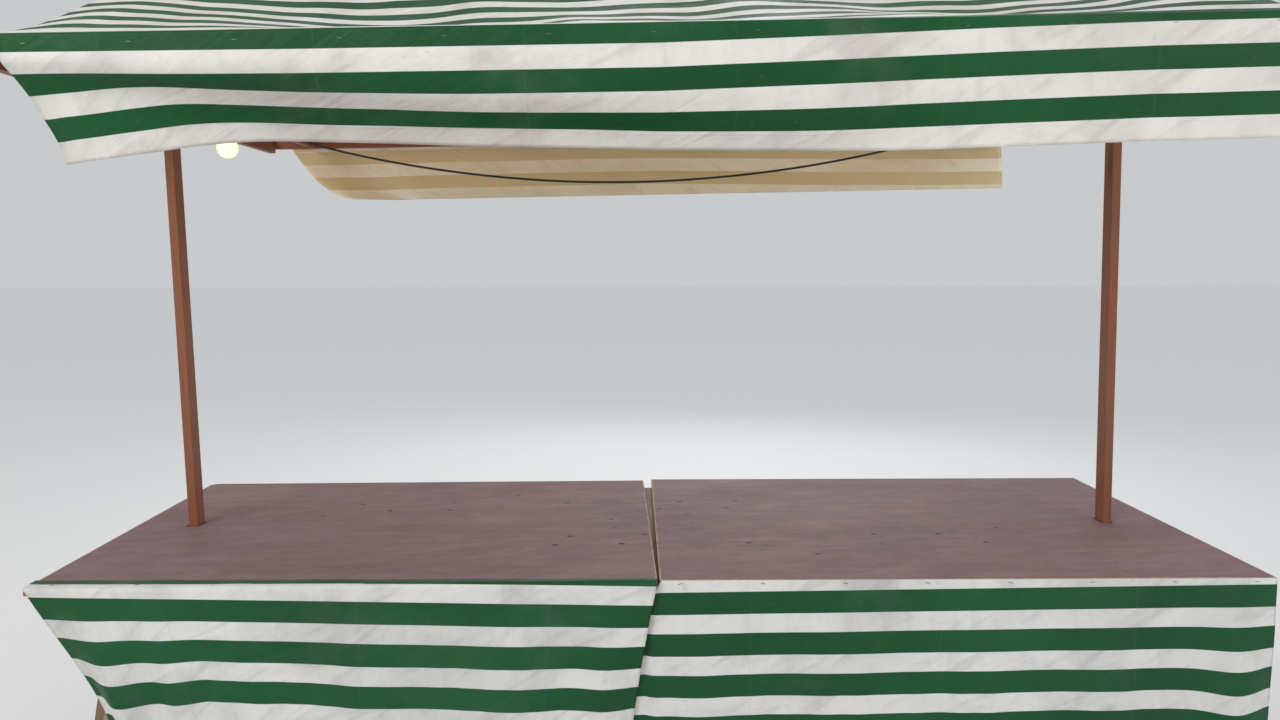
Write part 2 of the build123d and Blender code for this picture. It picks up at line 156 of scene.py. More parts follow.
def sawn_wood(name, pale, dark, pores, dust, dust_share):
    """Sawn wood. Its figure, pores and knots run along each stick, and its ends are dark and dry."""
    finish, tree, shader = new_finish(name, 0.62)
    grain = read_attribute(tree, "grain")
    figure = clouds(stretch(grain, (1.5, 30, 30)), 1.0, 7.0, 0.6, 0.7)
    ring_place = stretch(grain, (0.22, 1, 1.6))
    ring_sockets = {"Vector": ring_place, "Scale": 21.0, "Distortion": 6.5, "Detail": 3.0}
    rings = add_node(tree, "TexWave", ring_sockets, bands_direction="Y").outputs["Fac"]
    fibres = clouds(stretch(grain, (16, 640, 640)), 1.0, 3.0, 0.6)
    open_pores = fade(fibres, 0.58, 0.7)
    knot_place = stretch(grain, (2.4, 10, 10))
    knot_field = add_node(tree, "TexVoronoi", {"Vector": knot_place, "Scale": 1.0})
    knots = fade(knot_field.outputs["Distance"], 0.2, 0.07)
    colour = mix(fade(figure, 0.32, 0.68), dark, pale)
    colour = mix(fade(rings, 0.35, 1.0, 0.0, 0.42), colour, dark)
    colour = tint(colour, open_pores, 0.5, pores)
    colour = tint(colour, knots, 0.75, pores)

    # Dust lies in patches, the ends have drunk dirt, and the street has splashed the feet.
    place = object_place(tree)
    patches = fade(clouds(place, 3.1, 4.0, 0.6), 0.35, 0.72)
    colour = tint(colour, patches, dust_share, dust)
    dry_end = fade(read_attribute(tree, "to_end", "Fac"), 0.035, 0.0, 0.0, 0.7)
    dry_end = times(dry_end, fade(figure, 0.3, 0.6, 0.45, 1.0))
    colour = mix(dry_end, colour, pores)
    height = add_node(tree, "SeparateXYZ", {"Vector": place}).outputs["Z"]
    splash_height = calc("SUBTRACT", height, times(patches, 0.1))
    splashes = fade(splash_height, 0.09, 0.0)
    colour = tint(colour, splashes, 0.8, paint(104, 92, 78))

    feed(shader, colour, fade(figure, 0.3, 0.7, 0.72, 0.52))
    relief = calc("SUBTRACT", times(rings, 0.35), open_pores)
    relief = calc("SUBTRACT", relief, times(knots, 0.5))
    raise_surface(shader, relief, 0.0005, 0.7)
    return finish


def longest(runs):
    """The direction of the longest of many vectors."""
    lengths = np.linalg.norm(runs, axis=1)
    return runs[lengths.argmax()] / lengths.max()


def lay_grain(mesh, shifted=True):
    """Gives each stick of a mesh its own grain: how far a point is along, across and through it."""
    points = np.array([vert.co for vert in mesh.vertices])
    links = np.array([edge.vertices[:] for edge in mesh.edges])
    # Every point takes on the lowest number that it is joined to, until each stick has one number.
    owner = np.arange(len(points))
    while True:
        joined = owner.copy()
        np.minimum.at(joined, links[:, 0], owner[links[:, 1]])
        np.minimum.at(joined, links[:, 1], owner[links[:, 0]])
        if (joined == owner).all():
            break
        owner = joined
    grain, to_end = np.zeros(points.shape), np.zeros(len(points))
    for stick in np.unique(owner):
        mine = owner == stick
        my_links = links[owner[links[:, 0]] == stick]
        runs = points[my_links[:, 1]] - points[my_links[:, 0]]
        lengthwise = longest(runs)
        crosswise = longest(runs - np.outer(runs @ lengthwise, lengthwise))
        axes = np.array([lengthwise, crosswise, np.cross(lengthwise, crosswise)])
        laid = points[mine] @ axes.T
        laid -= (laid.min(axis=0) + laid.max(axis=0)) / 2
        to_end[mine] = np.abs(laid[:, 0]).max() - np.abs(laid[:, 0])
        shift = noise.random_vector() if shifted else Vector()
        grain[mine] = laid + 3 * np.array(shift)
    mesh.attributes.new("grain", "FLOAT_VECTOR", "POINT").data.foreach_set("vector", grain.ravel())
    mesh.attributes.new("to_end", "FLOAT", "POINT").data.foreach_set("value", to_end)


def finished_mesh(work):
    """The mesh that the work on a bmesh ends in."""
    mesh = bpy.data.meshes.new("mesh")
    work.to_mesh(mesh)
    work.free()
    return mesh


def sawn_copy(node, arris):
    """A merged copy of a CAD node's sticks with their sharp edges eased."""
    wood = bmesh.new()
    wood.from_mesh(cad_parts[node].data)
    bmesh.ops.remove_doubles(wood, verts=wood.verts, dist=1e-5)
    bmesh.ops.dissolve_limit(wood, angle_limit=radians(1), verts=wood.verts, edges=wood.edges)
    sharp = [edge for edge in wood.edges if edge.is_manifold and edge.calc_face_angle() > radians(20)]
    bmesh.ops.bevel(
        wood,
        geom=sharp,
        offset=arris,
        affect="EDGES",
        segments=2,
        profile=0.5,
        material=-1,
        clamp_overlap=True,
    )
    return finished_mesh(wood)


def put_in_scene(name, data):
    thing = bpy.data.objects.new(name, data)
    bpy.context.collection.objects.link(thing)
    return thing


def show(name, shape, finish, nodes=()):
    """Puts a finished piece in the scene. It rides on the stall and stands for the given CAD nodes."""
    shape.name = name
    shape.materials.clear()
    shape.materials.append(finish)
    piece = put_in_scene(name, shape)
    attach(piece, "root")
    if nodes:
        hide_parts(*nodes)
    return piece


def show_sticks(nodes, finish, arris):
    for node in nodes:
        mesh = sawn_copy(node, arris)
        lay_grain(mesh)
        show(f"{node}_wood", mesh, finish, [node])


noise.seed_set(7)
trestle_wood = sawn_wood(
    "trestle_wood",
    pale=paint(190, 160, 122),
    dark=paint(146, 114, 82),
    pores=paint(82, 60, 42),
    dust=paint(150, 140, 126),
    dust_share=0.5,
)
trestle_nodes = [
    f"{side}_trestle_{stick}"
    for side in ("left", "middle", "right")
    for stick in ("beam", "front_legs", "back_legs", "spreaders", "stretcher")
]
show_sticks(trestle_nodes, trestle_wood, 0.0016)


def rusty_steel(name, bare, rusted_from):
    """Steel with rust where its clouds are thicker than rusted_from."""
    finish, tree, shader = new_finish(name, 0.5)
    rust = fade(clouds(object_place(tree), 260, 5.0, 0.7), rusted_from, rusted_from + 0.2)
    colour = mix(rust, bare, paint(104, 64, 40))
    feed(shader, colour, fade(rust, 0.0, 1.0, 0.38, 0.85))
    shader.inputs["Metallic"].default_value = 0.7
    return finish


steel = rusty_steel("nail_steel", paint(120, 118, 114), 0.42)


def turn_to(place, outward):
    """The matrix that carries a piece from the origin's Z axis to a place, facing outward."""
    return Matrix.Translation(place) @ Vector(outward).to_track_quat("Z", "Y").to_matrix().to_4x4()


def nail_heads(name, nails, radius):
    """Round nail heads, each a rim and a low dome on a place and facing outward."""
    heads = bmesh.new()
    for place, outward in nails:
        matrix = turn_to(place, outward)
        for low, high, top_share in ((-0.0006, 0.0006, 1.0), (0.0006, 0.0014, 0.55)):
            bmesh.ops.create_cone(
                heads,
                cap_ends=True,
                segments=12,
                radius1=radius,
                radius2=radius * top_share,
                depth=high - low,
                matrix=matrix @ Matrix.Translation((0, 0, (low + high) / 2)),
            )
    return show(name, finished_mesh(heads), steel)


# Two nails go through each leg's head into the beam, and two through each leg into its spreader.
# Their drops are below the beam's top, and the shifts are across the leg.
leg_splay, leg_tilt, beam_half, leg_seat = radians(8), radians(6), 0.04, 0.035
beam_top, beam_middle, leg_reach, leg_half = 0.802, -0.275, 0.41, 0.015
leg_middle_in, inner_face_in = 0.026, 0.0202
head_drops = (0.016, 0.044)
spreader_drops = ((0.49, 0.008), (0.515, -0.009))
trestle_nails = []
for side in ("left", "middle", "right"):
    low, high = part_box(f"{side}_trestle_beam")
    trestle_x = (low[0] + high[0]) / 2
    for end in (-1, 1):
        leg_out = Vector((0, end * cos(leg_tilt), sin(leg_tilt)))
        for hand in (-1, 1):
            edge_out = Vector((hand * cos(leg_splay), 0, sin(leg_splay)))
            for drop in head_drops:
                edge_x = trestle_x + hand * (beam_half + leg_seat + tan(leg_splay) * drop)
                edge_y = beam_middle + end * (leg_reach + tan(leg_tilt) * drop + leg_half)
                trestle_nails.append(((edge_x, edge_y, beam_top - drop), edge_out))
            for drop, shift in spreader_drops:
                out = beam_half + leg_seat + tan(leg_splay) * drop - leg_middle_in + shift
                leg_y = beam_middle + end * (leg_reach + tan(leg_tilt) * drop - inner_face_in)
                trestle_nails.append(((trestle_x + hand * out, leg_y, beam_top - drop), -leg_out))
nail_heads("trestle_nail_heads", trestle_nails, 0.0035)

# Counter boards. Each is a half sheet of construction plywood faced with a reddish brown resin
# film, and it lies loose on the trestles with two battens nailed under it. The film has faded.


def resin_plywood(half_length, half_depth):
    """Film-faced plywood. The film is cloudy, scratched and worn through at the edges, where the
    plies show."""
    finish, tree, shader = new_finish("resin_plywood", 0.48)
    shader.inputs["Specular IOR Level"].default_value = 0.28
    sheet = read_attribute(tree, "grain")
    along, across, _ = add_node(tree, "SeparateXYZ", {"Vector": sheet}).outputs
    facing = add_node(tree, "NewGeometry", {}).outputs["Normal"]
    upright = add_node(tree, "SeparateXYZ", {"Vector": facing}).outputs["Z"]
    faced = fade(calc("ABSOLUTE", upright), 0.4, 0.75)

    # The film, with the veneer showing through, pale streaks from wiping, dust and dark crumbs.
    veneer = clouds(stretch(sheet, (1.1, 13, 13)), 1.0, 8.0, 0.62, 0.9)
    fine_veneer = clouds(stretch(sheet, (7, 210, 210)), 1.0, 4.0, 0.6)
    blotches = clouds(sheet, 2.2, 6.0, 0.62, 0.4)
    film = mix(fade(veneer, 0.3, 0.7), paint(121, 91, 92), paint(139, 108, 109))
    film = mix(fade(blotches, 0.36, 0.66, 0.0, 0.6), film, paint(131, 112, 117))
    film = mix(fade(fine_veneer, 0.5, 0.72, 0.0, 0.14), film, paint(84, 60, 56))
    mottles = clouds(sheet, 17, 8.0, 0.72, 0.6)
    film = mix(fade(mottles, 0.4, 0.68, 0.3, 0.0), film, paint(104, 79, 84))
    wiped = clouds(stretch(sheet, (1.6, 7, 1), 0.3), 1.0, 8.0, 0.7, 2.6)
    wiped = fade(wiped, 0.44, 0.78, 0.0, 0.3)
    film = mix(wiped, film, paint(168, 146, 148))
    dust = fade(clouds(sheet, 5.4, 9.0, 0.75), 0.5, 0.78, 0.0, 0.5)
    film = mix(dust, film, paint(160, 143, 142))
    crumb_place = stretch(sheet, (9, 13, 13))
    crumb_field = add_node(tree, "TexVoronoi", {"Vector": crumb_place, "Scale": 1.0})
    crumb_size = fade(crumb_field.outputs["Color"], 0.42, 0.8, 0.0, 0.092)
    crumbs = calc("LESS_THAN", crumb_field.outputs["Distance"], crumb_size)
    film = tint(film, crumbs, 0.9, paint(40, 31, 28))

    # Scratches, and the rings that wet cups left.
    scratch_place = stretch(sheet, (2.2, 90, 90), 0.22)
    scratches = fade(clouds(scratch_place, 1.0, 2.0, 0.4, 1.6), 0.71, 0.76)
    film = tint(film, scratches, 0.45, paint(168, 146, 134))
    cups = add_node(tree, "TexVoronoi", {"Vector": sheet, "Scale": 3.1, "Randomness": 1.0})
    from_ring = calc("ABSOLUTE", calc("SUBTRACT", cups.outputs["Distance"], 0.12))
    ring_strength = fade(blotches, 0.5, 0.62, 0.0, 0.4)
    rings = times(fade(from_ring, 0.012, 0.002), ring_strength)
    film = mix(rings, film, paint(78, 60, 56))

    # The film is worn through along the edges.
    past_end = calc("SUBTRACT", calc("ABSOLUTE", along), half_length)
    past_side = calc("SUBTRACT", calc("ABSOLUTE", across), half_depth)
    chips = times(clouds(sheet, 38, 6.0, 0.7), 0.02)
    worn = fade(calc("ADD", calc("MAXIMUM", past_end, past_side), chips), 0.006, 0.0085)
    film = tint(film, worn, 0.8, paint(187, 160, 128))

    # The sawn sides show the plies.
    place = object_place(tree)
    ply_place = stretch(place, (0, 0, 1))
    ply_wave = add_node(tree, "TexWave", {"Vector": ply_place, "Scale": 78.5}, bands_direction="Z")
    pale_ply = fade(ply_wave.outputs["Fac"], 0.3, 0.7)
    plies = mix(pale_ply, paint(121, 86, 60), paint(190, 158, 118))
    ply_pores = fade(clouds(stretch(place, (9, 9, 320)), 1.0, 5.0, 0.7), 0.4, 0.7)
    plies = mix(ply_pores, plies, paint(92, 66, 50))

    # Dust and sawn sides are matt.
    matt = fade(blotches, 0.3, 0.7, 0.56, 0.72)
    matt = calc("ADD", matt, times(dust, 0.25))
    matt = calc("MAXIMUM", matt, fade(faced, 1.0, 0.0, 0.0, 0.85))
    feed(shader, mix(faced, plies, film), matt)
    relief = calc("SUBTRACT", times(veneer, 0.5), times(fine_veneer, 0.3))
    relief = calc("SUBTRACT", relief, times(scratches, 0.4))
    raise_surface(shader, relief, 0.0009, 0.6)
    return finish


board_film = resin_plywood(half_length=0.75, half_depth=0.55)
for side in ("left", "right"):
    node = f"{side}_counter_board"
    mesh = sawn_copy(node, 0.0011)
    lay_grain(mesh, shifted=False)
    show(f"{node}_plywood", mesh, board_film, [node])
show_sticks(["left_board_battens", "right_board_battens"], trestle_wood, 0.0014)

# Six nails go through each board into each batten, in rows that a hand has set not quite true.
board_top, board_gap, batten_lines = 0.82, 0.005, (0.08, 1.02)
seam_x, left_front, right_front, board_turn = 0.01104, -0.84, -0.825, radians(1.2)
first_nail, nail_spacing = 0.135, 0.202
board_nails = []
for hand, front, turned in ((-1, left_front, board_turn), (1, right_front, 0.0)):
    for inward in batten_lines:
        for k in range(6):
            out = first_nail + nail_spacing * k + 0.006 * (k % 2)
            x = seam_x + hand * board_gap / 2 + hand * out * cos(turned) - inward * sin(turned)
            y = front + hand * out * sin(turned) + (inward + 0.004 * (k % 3)) * cos(turned)
            board_nails.append(((x, y, board_top - 0.0008), (0, 0, 1)))
nail_heads("board_nail_heads", board_nails, 0.0032)

# Posts and roof frame. Reddish hardwood battens carry the canopy: posts with their feet on the
# ground, a ridge pole on their heads, a truss beside each post and rails round the eaves.

frame_wood = sawn_wood(
    "frame_wood",
    pale=paint(206, 129, 84),
    dark=paint(158, 92, 58),
    pores=paint(82, 44, 28),
    dust=paint(158, 114, 86),
    dust_share=0.3,
)
frame_nodes = ["ridge_pole", "front_eave_rail", "back_eave_rail"] + [
    f"{side}_{stick}"
    for side in ("left", "right")
    for stick in ("post", "cross_arm", "front_rafter", "back_rafter", "end_rail")
]
show_sticks(frame_nodes, frame_wood, 0.0013)

frame_lean = radians(1)


def in_frame(along, y, up):
    """A place in the leaning roof frame, by its distances along the rails and up the posts."""
    lean_cos, lean_sin = cos(frame_lean), sin(frame_lean)
    return Vector((along * lean_cos - up * lean_sin, y, along * lean_sin + up * lean_cos))


def turned_piece(profile, place, tilt=0.0, steps=48):
    """A closed mesh turned from (radius, height) points along an axis that stands upright in the
    leaning frame, or is tilted from there towards the right."""
    work = bmesh.new()
    spots = [work.verts.new((radius, 0, up)) for radius, up in profile]
    edges = [work.edges.new(pair) for pair in zip(spots, spots[1:])]
    bmesh.ops.spin(
        work, geom=spots + edges, cent=(0, 0, 0), axis=(0, 0, 1), angle=2 * pi, steps=steps, use_merge=True
    )
    bmesh.ops.remove_doubles(work, verts=work.verts, dist=1e-6)
    bmesh.ops.recalc_face_normals(work, faces=work.faces)
    matrix = Matrix.Translation(in_frame(*place)) @ Matrix.Rotation(tilt - frame_lean, 4, "Y")
    bmesh.ops.transform(work, verts=work.verts, matrix=matrix)
    for face in work.faces:
        face.smooth = True
    for edge in work.edges:
        edge.smooth = edge.calc_face_angle(0.0) < radians(40)
    return finished_mesh(work)


# Domed bolts hold each post to its cross arm, to the trestle beam and to the trestle stretcher. Each
# has its head on the post's outer face, and a washer and a nut on the inner face of the other stick.
# The washer's piece carries the bolt's threaded end, which stands out past the nut.
post_y = -0.294
head_profile = [
    (0.0, 0.004), (0.0032, 0.0037), (0.0061, 0.0028), (0.0083, 0.0014), (0.009, 0.0),
    (0.009, -0.0005), (0.0, -0.0005),
]
washer_profile = [
    (0.0, 0.0118), (0.0024, 0.0118), (0.003, 0.0112), (0.003, 0.0016), (0.0094, 0.0016),
    (0.0098, 0.0012), (0.0098, -0.0004), (0.0, -0.0004),
]
nut_profile = [(0.0, 0.007), (0.0056, 0.007), (0.0064, 0.0063), (0.0064, 0.001), (0.0, 0.001)]
# Where each bolt's head and nut are along the rails, and how high, in the leaning frame.
bolt_places = {
    "left_arm": (-1.3344, -1.2841, 2.0875),
    "left_beam": (-1.3344, -1.2286, 0.7953),
    "left_stretcher": (-1.3344, -1.2837, 0.3233),
    "right_arm": (1.3701, 1.3198, 2.0875),
    "right_beam": (1.3701, 1.2644, 0.7482),
    "right_stretcher": (1.3701, 1.3194, 0.2762),
}
for joint, (head_at, nut_at, up) in bolt_places.items():
    outwards = -pi / 2 if head_at < 0 else pi / 2
    for part, profile, along, tilt, steps in (
        ("head", head_profile, head_at, outwards, 32),
        ("washer", washer_profile, nut_at, -outwards, 32),
        ("nut", nut_profile, nut_at, -outwards, 6),
    ):
        mesh = turned_piece(profile, (along, post_y, up), tilt, steps)
        show(f"{joint}_bolt_{part}", mesh, steel)

# Nails at both ends of each rafter, as y and up on the truss's inner face, and through each eave
# rail into the left end rail.
rafter_nails = (
    (-0.8, 2.124), (-0.765, 2.131), (-0.345, 2.33), (-0.353, 2.309),
    (0.79, 2.12), (0.745, 2.124), (-0.243, 2.343), (-0.236, 2.322),
)
end_rail_along, eave_rail_face = -1.4564, 0.8967
frame_nails = []
for inner_face, inwards in ((-1.2841, 1), (1.3198, -1)):
    for y, up in rafter_nails:
        frame_nails.append((in_frame(inner_face, y, up), in_frame(inwards, 0, 0)))
for end in (-1, 1):
    for up in (2.074, 2.092):
        frame_nails.append((in_frame(end_rail_along, end * eave_rail_face, up), (0, end, 0)))
nail_heads("frame_nail_heads", frame_nails, 0.0034)

# Canopy. One striped sheet of coated weave is thrown over the ridge and stapled to the ridge pole
# and both eave rails. It sags between the trusses, and the wind has pushed its front edge inwards.


def ease(value, low, high):
    """0 below low and 1 above high, with a soft change between them."""
    share = min(1.0, max(0.0, (value - low) / (high - low)))
    return share * share * (3 - 2 * share)


def lay_sheet(columns, rows, place):
    """A sheet from a grid. place gives, for shares of the way across and along it, where that spot
    hangs and its place on the flat cloth. The UV map keeps the flat place in metres."""
    cloth = bmesh.new()
    bmesh.ops.create_grid(cloth, x_segments=columns, y_segments=rows, size=0.5)
    flat = {}
    for vert in cloth.verts:
        vert.co, flat[vert] = place(vert.co.x + 0.5, vert.co.y + 0.5)
    layer = cloth.loops.layers.uv.new("cloth")
    for face in cloth.faces:
        face.smooth = True
        for loop in face.loops:
            loop[layer].uv = flat[loop.vert]
    return finished_mesh(cloth)


def striped_sheeting(name, pitch, green_part, green, faded_green, white, grime_and_shade):
    """Coated weave with woven-in stripes. V is the flat place along the cloth in metres, and each
    green stripe starts where it is a whole number of pitches. Smudges lie over them, and painted
    shade darkens them along creases and old folds."""
    finish, tree, shader = new_finish(name, 0.5)
    shader.inputs["Specular IOR Level"].default_value = 0.22
    flat = add_node(tree, "UVMap", {}, uv_map="cloth").outputs["UV"]
    across, along, _ = add_node(tree, "SeparateXYZ", {"Vector": flat}).outputs
    phase = calc("FRACT", calc("DIVIDE", along, pitch))
    into_green = fade(phase, 0.0, 0.014)
    out_of_green = fade(phase, green_part, green_part + 0.014, 1.0, 0.0)
    stripe = times(into_green, out_of_green)

    # Grime gathers on the white stripes, painted shade darkens them along their creases, and the green
    # ones have faded.
    smudges = clouds(flat, 3.1, 7.0, 0.62, 0.5)
    specks = clouds(flat, 46, 7.0, 0.74, 0.3)
    runs = clouds(stretch(flat, (26, 2.4, 1)), 1.0, 5.0, 0.6, 0.7)
    creases = clouds(stretch(flat, (3.4, 19, 1), 0.52), 1.0, 3.0, 0.5, 1.2)
    faded = clouds(flat, 1.9, 4.0, 0.6)
    whites = mix(fade(smudges, 0.4, 0.74, 0.0, 0.5), white, grime_and_shade)
    whites = mix(fade(specks, 0.55, 0.76, 0.0, 0.35), whites, grime_and_shade)
    whites = mix(fade(runs, 0.5, 0.8, 0.0, 0.16), whites, grime_and_shade)
    # Painted shade: the white stripes are darkened along the creases, as if their wrinkles were in shadow.
    whites = mix(fade(creases, 0.5, 0.72, 0.0, 0.3), whites, grime_and_shade)
    greens = mix(fade(faded, 0.35, 0.7, 0.0, 0.8), green, faded_green)
    greens = mix(fade(smudges, 0.5, 0.8, 0.0, 0.1), greens, grime_and_shade)
    greens = mix(fade(specks, 0.58, 0.78, 0.0, 0.09), greens, grime_and_shade)
    colour = mix(stripe, whites, greens)

    # Lines from how the sheeting was once folded up, darkened faintly with painted shade along the
    # creases.
    old_folds = []
    drift = times(clouds(flat, 2.2, 2.0, 0.5), 0.035)
    for place, every in ((across, 0.47), (along, 0.36)):
        turns = calc("FRACT", calc("DIVIDE", calc("ADD", place, drift), every))
        from_fold = calc("ABSOLUTE", calc("SUBTRACT", turns, 0.5))
        old_folds.append(fade(from_fold, 0.011, 0.0))
    fold_strength = fade(smudges, 0.3, 0.6, 0.15, 1.0)
    fold = times(calc("MAXIMUM", *old_folds), fold_strength)
    # Painted shade along the old fold lines.
    colour = tint(colour, fold, 0.03, grime_and_shade)
    feed(shader, colour, fade(smudges, 0.35, 0.7, 0.4, 0.6))

    # The relief of the folds, dents and creases, and of the tapes that cross in the weave.
    tape_width = 0.0026
    tapes = [calc("SINE", times(place, 2 * pi / tape_width)) for place in (across, along)]
    dents = clouds(stretch(flat, (1, 1.5, 1)), 13, 4.0, 0.55, 0.5)
    relief = calc("ADD", times(fold, 0.2), dents)
    relief = calc("ADD", relief, times(creases, 2.0))
    relief = calc("ADD", relief, times(times(*tapes), 0.03))
    raise_surface(shader, relief, 0.003, 0.7)
    return finish


canopy_pitch = 0.104
canopy_stripes = striped_sheeting(
    "canopy_face",
    canopy_pitch,
    green_part=0.5,
    green=paint(12, 72, 34),
    faded_green=paint(18, 86, 44),
    white=paint(228, 224, 217),
    grime_and_shade=paint(172, 164, 152),
)
# The reverse is cream with tan stripes, painted lighter and warmer than it would be in this shade: a
# painted glow standing in for the lamps' warm light and the light through the cloth.
canopy_reverse_painted_glow = striped_sheeting(
    "canopy_reverse_painted_glow",
    canopy_pitch,
    green_part=0.5,
    green=paint(226, 205, 160),
    faded_green=paint(218, 197, 152),
    white=paint(252, 240, 214),
    grime_and_shade=paint(222, 199, 160),
)

# The sheet's lines in the leaning frame: its eaves, its ridge, and the flat lengths between them.
canopy_left, canopy_right = -1.4169, 1.4826
eave_y, eave_up, rail_in = 0.8984, 2.1118, 0.0325
ridge_y, ridge_up, pole_half = post_y, 2.3722, 0.026
valance, flap = 0.2955, 0.2566
front_slope = hypot(eave_y + ridge_y, ridge_up - eave_up)
back_slope = hypot(eave_y - ridge_y, ridge_up - eave_up)
ridge_at, back_fold_at = -front_slope, -front_slope - back_slope
truss_middle, truss_half = 0.0178, 1.3
front_sag, back_sag = 0.036, 0.052
canopy_columns, canopy_rows = 190, 200
canopy_alongs = np.linspace(canopy_left, canopy_right, canopy_columns + 1)

# The sheet lies a little askew: how much lower its stripes and its hem come than at its left end,
# on seven places along it.
askew_places = (-1.42, -0.75, 0.05, 0.42, 0.8, 1.16, 1.48)
askew_drops = (0.0, 0.0045, 0.0055, -0.003, -0.0135, -0.021, -0.0235)

# How far the wind leans the valance inwards, in degrees, in the middle of each of its five stripes,
# on places along it.
stripe_middles = (0.063, 0.115, 0.167, 0.219, 0.271)
valance_leans = {
    -1.42: (50, 30, 16, 24, 14),
    -1.31: (46, 52, 14, 20, 12),
    -1.21: (32, 80, 24, 12, 8),
    -1.12: (16, 80, 54, 24, 9),
    -1.02: (10, 72, 60, 44, 26),
    -0.92: (8, 61, 62, 50, 40),
    -0.78: (8, 50, 63, 48, 46),
    -0.58: (12, 32, 60, 53, 44),
    -0.36: (12, 10, 50, 59, 40),
    -0.1: (4, 12, 38, 55, 40),
    0.12: (0, 14, 34, 40, 41),
    0.4: (4, 9, 13, 28, 40),
    0.62: (6, 8, 10, 20, 14),
    0.85: (4, 6, 12, 11, 7),
    1.48: (2, 3, 4, 4, 3),
}


def soften(values, width, axis):
    """values averaged over neighbours with a bell of the given width, along one axis."""
    reach = int(3 * width) + 1
    bell = np.exp(-0.5 * (np.arange(-reach, reach + 1) / width) ** 2)
    padding = [(reach, reach) if each == axis else (0, 0) for each in range(values.ndim)]
    padded = np.pad(values, padding, mode="edge")
    return np.apply_along_axis(np.convolve, axis, padded, bell / bell.sum(), mode="valid")


def waves(along, down, seed, length, steep=1.0):
    """Soft random waves between -1 and 1 over a sheet, about length long."""
    return noise.noise(Vector((along / length, down * steep / length, seed)))


def bulge(place, middle, width):
    return exp(-(((place - middle) / width) ** 2))


# What leans the valance adds up step by step down the cloth. Its first 5 cm lie on the eave rail.
step = 0.0025
valance_steps = np.arange(0, valance + 0.012, step)
leans = np.array([np.interp(valance_steps, stripe_middles, each) for each in valance_leans.values()])
leans[:, valance_steps < 0.053] = 0
leans = np.array([np.interp(canopy_alongs, list(valance_leans), each) for each in leans.T]).T
leans = np.radians(soften(soften(leans, 4, 0), 3, 1))
leans[:, valance_steps < 0.05] = 0
drawn_in = np.cumsum(np.sin(leans), axis=1) * step
hung_down = np.cumsum(np.cos(leans), axis=1) * step


def on_valance(column, depth):
    """A place on the valance: along the rails, y and up. depth runs down the cloth from the fold."""
    along = canopy_alongs[column]
    from_left = along - canopy_left
    depth *= 1 + np.interp(along, askew_places, askew_drops) / valance
    y = -eave_y + np.interp(depth, valance_steps, drawn_in[column])
    ripple = 0.006 * waves(along, depth, 3.1, 0.23, 0.5) + 0.003 * waves(along, depth, 9.7, 0.09, 0.4)
    y += ease(depth, 0.05, 0.2) * ripple
    turned_in = 0.03 * bulge(from_left, 0, 0.04) - 0.01 * bulge(from_left, 0.15, 0.07)
    y += ease(depth, 0.05, 0.3) * turned_in
    up = eave_up - np.interp(depth, valance_steps, hung_down[column])
    return along + 0.06 * ease(depth, 0.0, 0.3) * bulge(from_left, 0, 0.3), y, up


def sagging_drop(along, run, reach, sag):
    """How far a slope hangs below the straight line over the trusses. run is the level distance from
    the eave, and reach that to the ridge. The rail and the ridge pole hold its ends up."""
    held_by_wood = min(1.0, run / rail_in, (reach - run) / pole_half)
    free = min(1.0, max(0.0, (run - rail_in) / (reach - rail_in - pole_half)))
    belly = 4 * free * (1 - free)
    between = max(0.0, 1 - abs((along - truss_middle) / truss_half) ** 2.4)
    # The cloth is taut over the trusses and ripples well away from them.
    off_truss = abs(abs(along - truss_middle) - truss_half - 0.012)
    loose = min(max(0.0, off_truss - 0.03) / 0.14, 1.0)
    ripple = 0.034 * waves(along + 0.8 * run, run, 5.5, 0.52, 0.4)
    ripple += 0.006 * waves(along, run, 1.4, 0.13, 0.5)
    return between * (0.003 * held_by_wood + belly * sag) + belly**0.7 * loose * (ripple + 0.006)


def on_slope(column, depth):
    """The same for the front and back slopes, where depth runs from 0 at the front fold to below 0."""
    if depth > ridge_at:
        share, side, sag = depth / ridge_at, -1, front_sag
    else:
        share, side, sag = (back_fold_at - depth) / (back_fold_at - ridge_at), 1, back_sag
    reach = abs(ridge_y - side * eave_y)
    drop = sagging_drop(canopy_alongs[column], reach * share, reach, sag)
    up = eave_up + (ridge_up - eave_up) * share - drop
    return canopy_alongs[column], side * (eave_y - reach * share), up


def on_flap(column, depth):
    """The same for the back flap, whose left corner is drawn up to the right."""
    along, down = canopy_alongs[column], back_fold_at - depth
    from_left = along - canopy_left
    loose = ease(down, 0.05, 0.2)
    y = eave_y - 0.02 * loose * down / flap
    y += loose * (0.007 * waves(along, down, 6.3, 0.3, 0.5) + 0.003 * waves(along, down, 2.7, 0.1, 0.5))
    turned_in = 0.02 * bulge(from_left, 0.25, 0.09) - 0.05 * bulge(from_left, 0, 0.1)
    y += ease(down, 0.05, 0.25) * turned_in
    crushed = ease(down, 0.16, 0.24) * ease(along, 1.0, 1.2)
    y += crushed * 0.006 * waves(along + 1.4 * down, down, 4.4, 0.045, 1.2)
    share = min(1.0, down / flap)
    drawn = 0.14 * share + 0.15 * (1 - (1 - share * share) ** 0.5)
    return along + drawn * bulge(from_left, 0, 0.5), y, eave_up - down


# The grid's rows crowd together at the three folds and are closer on the valance and the flap.
fold_depths = (0.0, ridge_at, back_fold_at)
depth_line = np.linspace(valance, back_fold_at - flap, 4000)
crowding = 1 + 3.2 * sum(np.exp(-(((depth_line - fold) / 0.02) ** 2)) for fold in fold_depths)
crowding[depth_line > 0] *= 1.5
crowding[depth_line < back_fold_at] *= 1.3
crowded = np.cumsum(crowding)
canopy_depths = np.interp(np.linspace(crowded[0], crowded[-1], canopy_rows + 1), crowded, depth_line)
first_green_starts = 0.0872


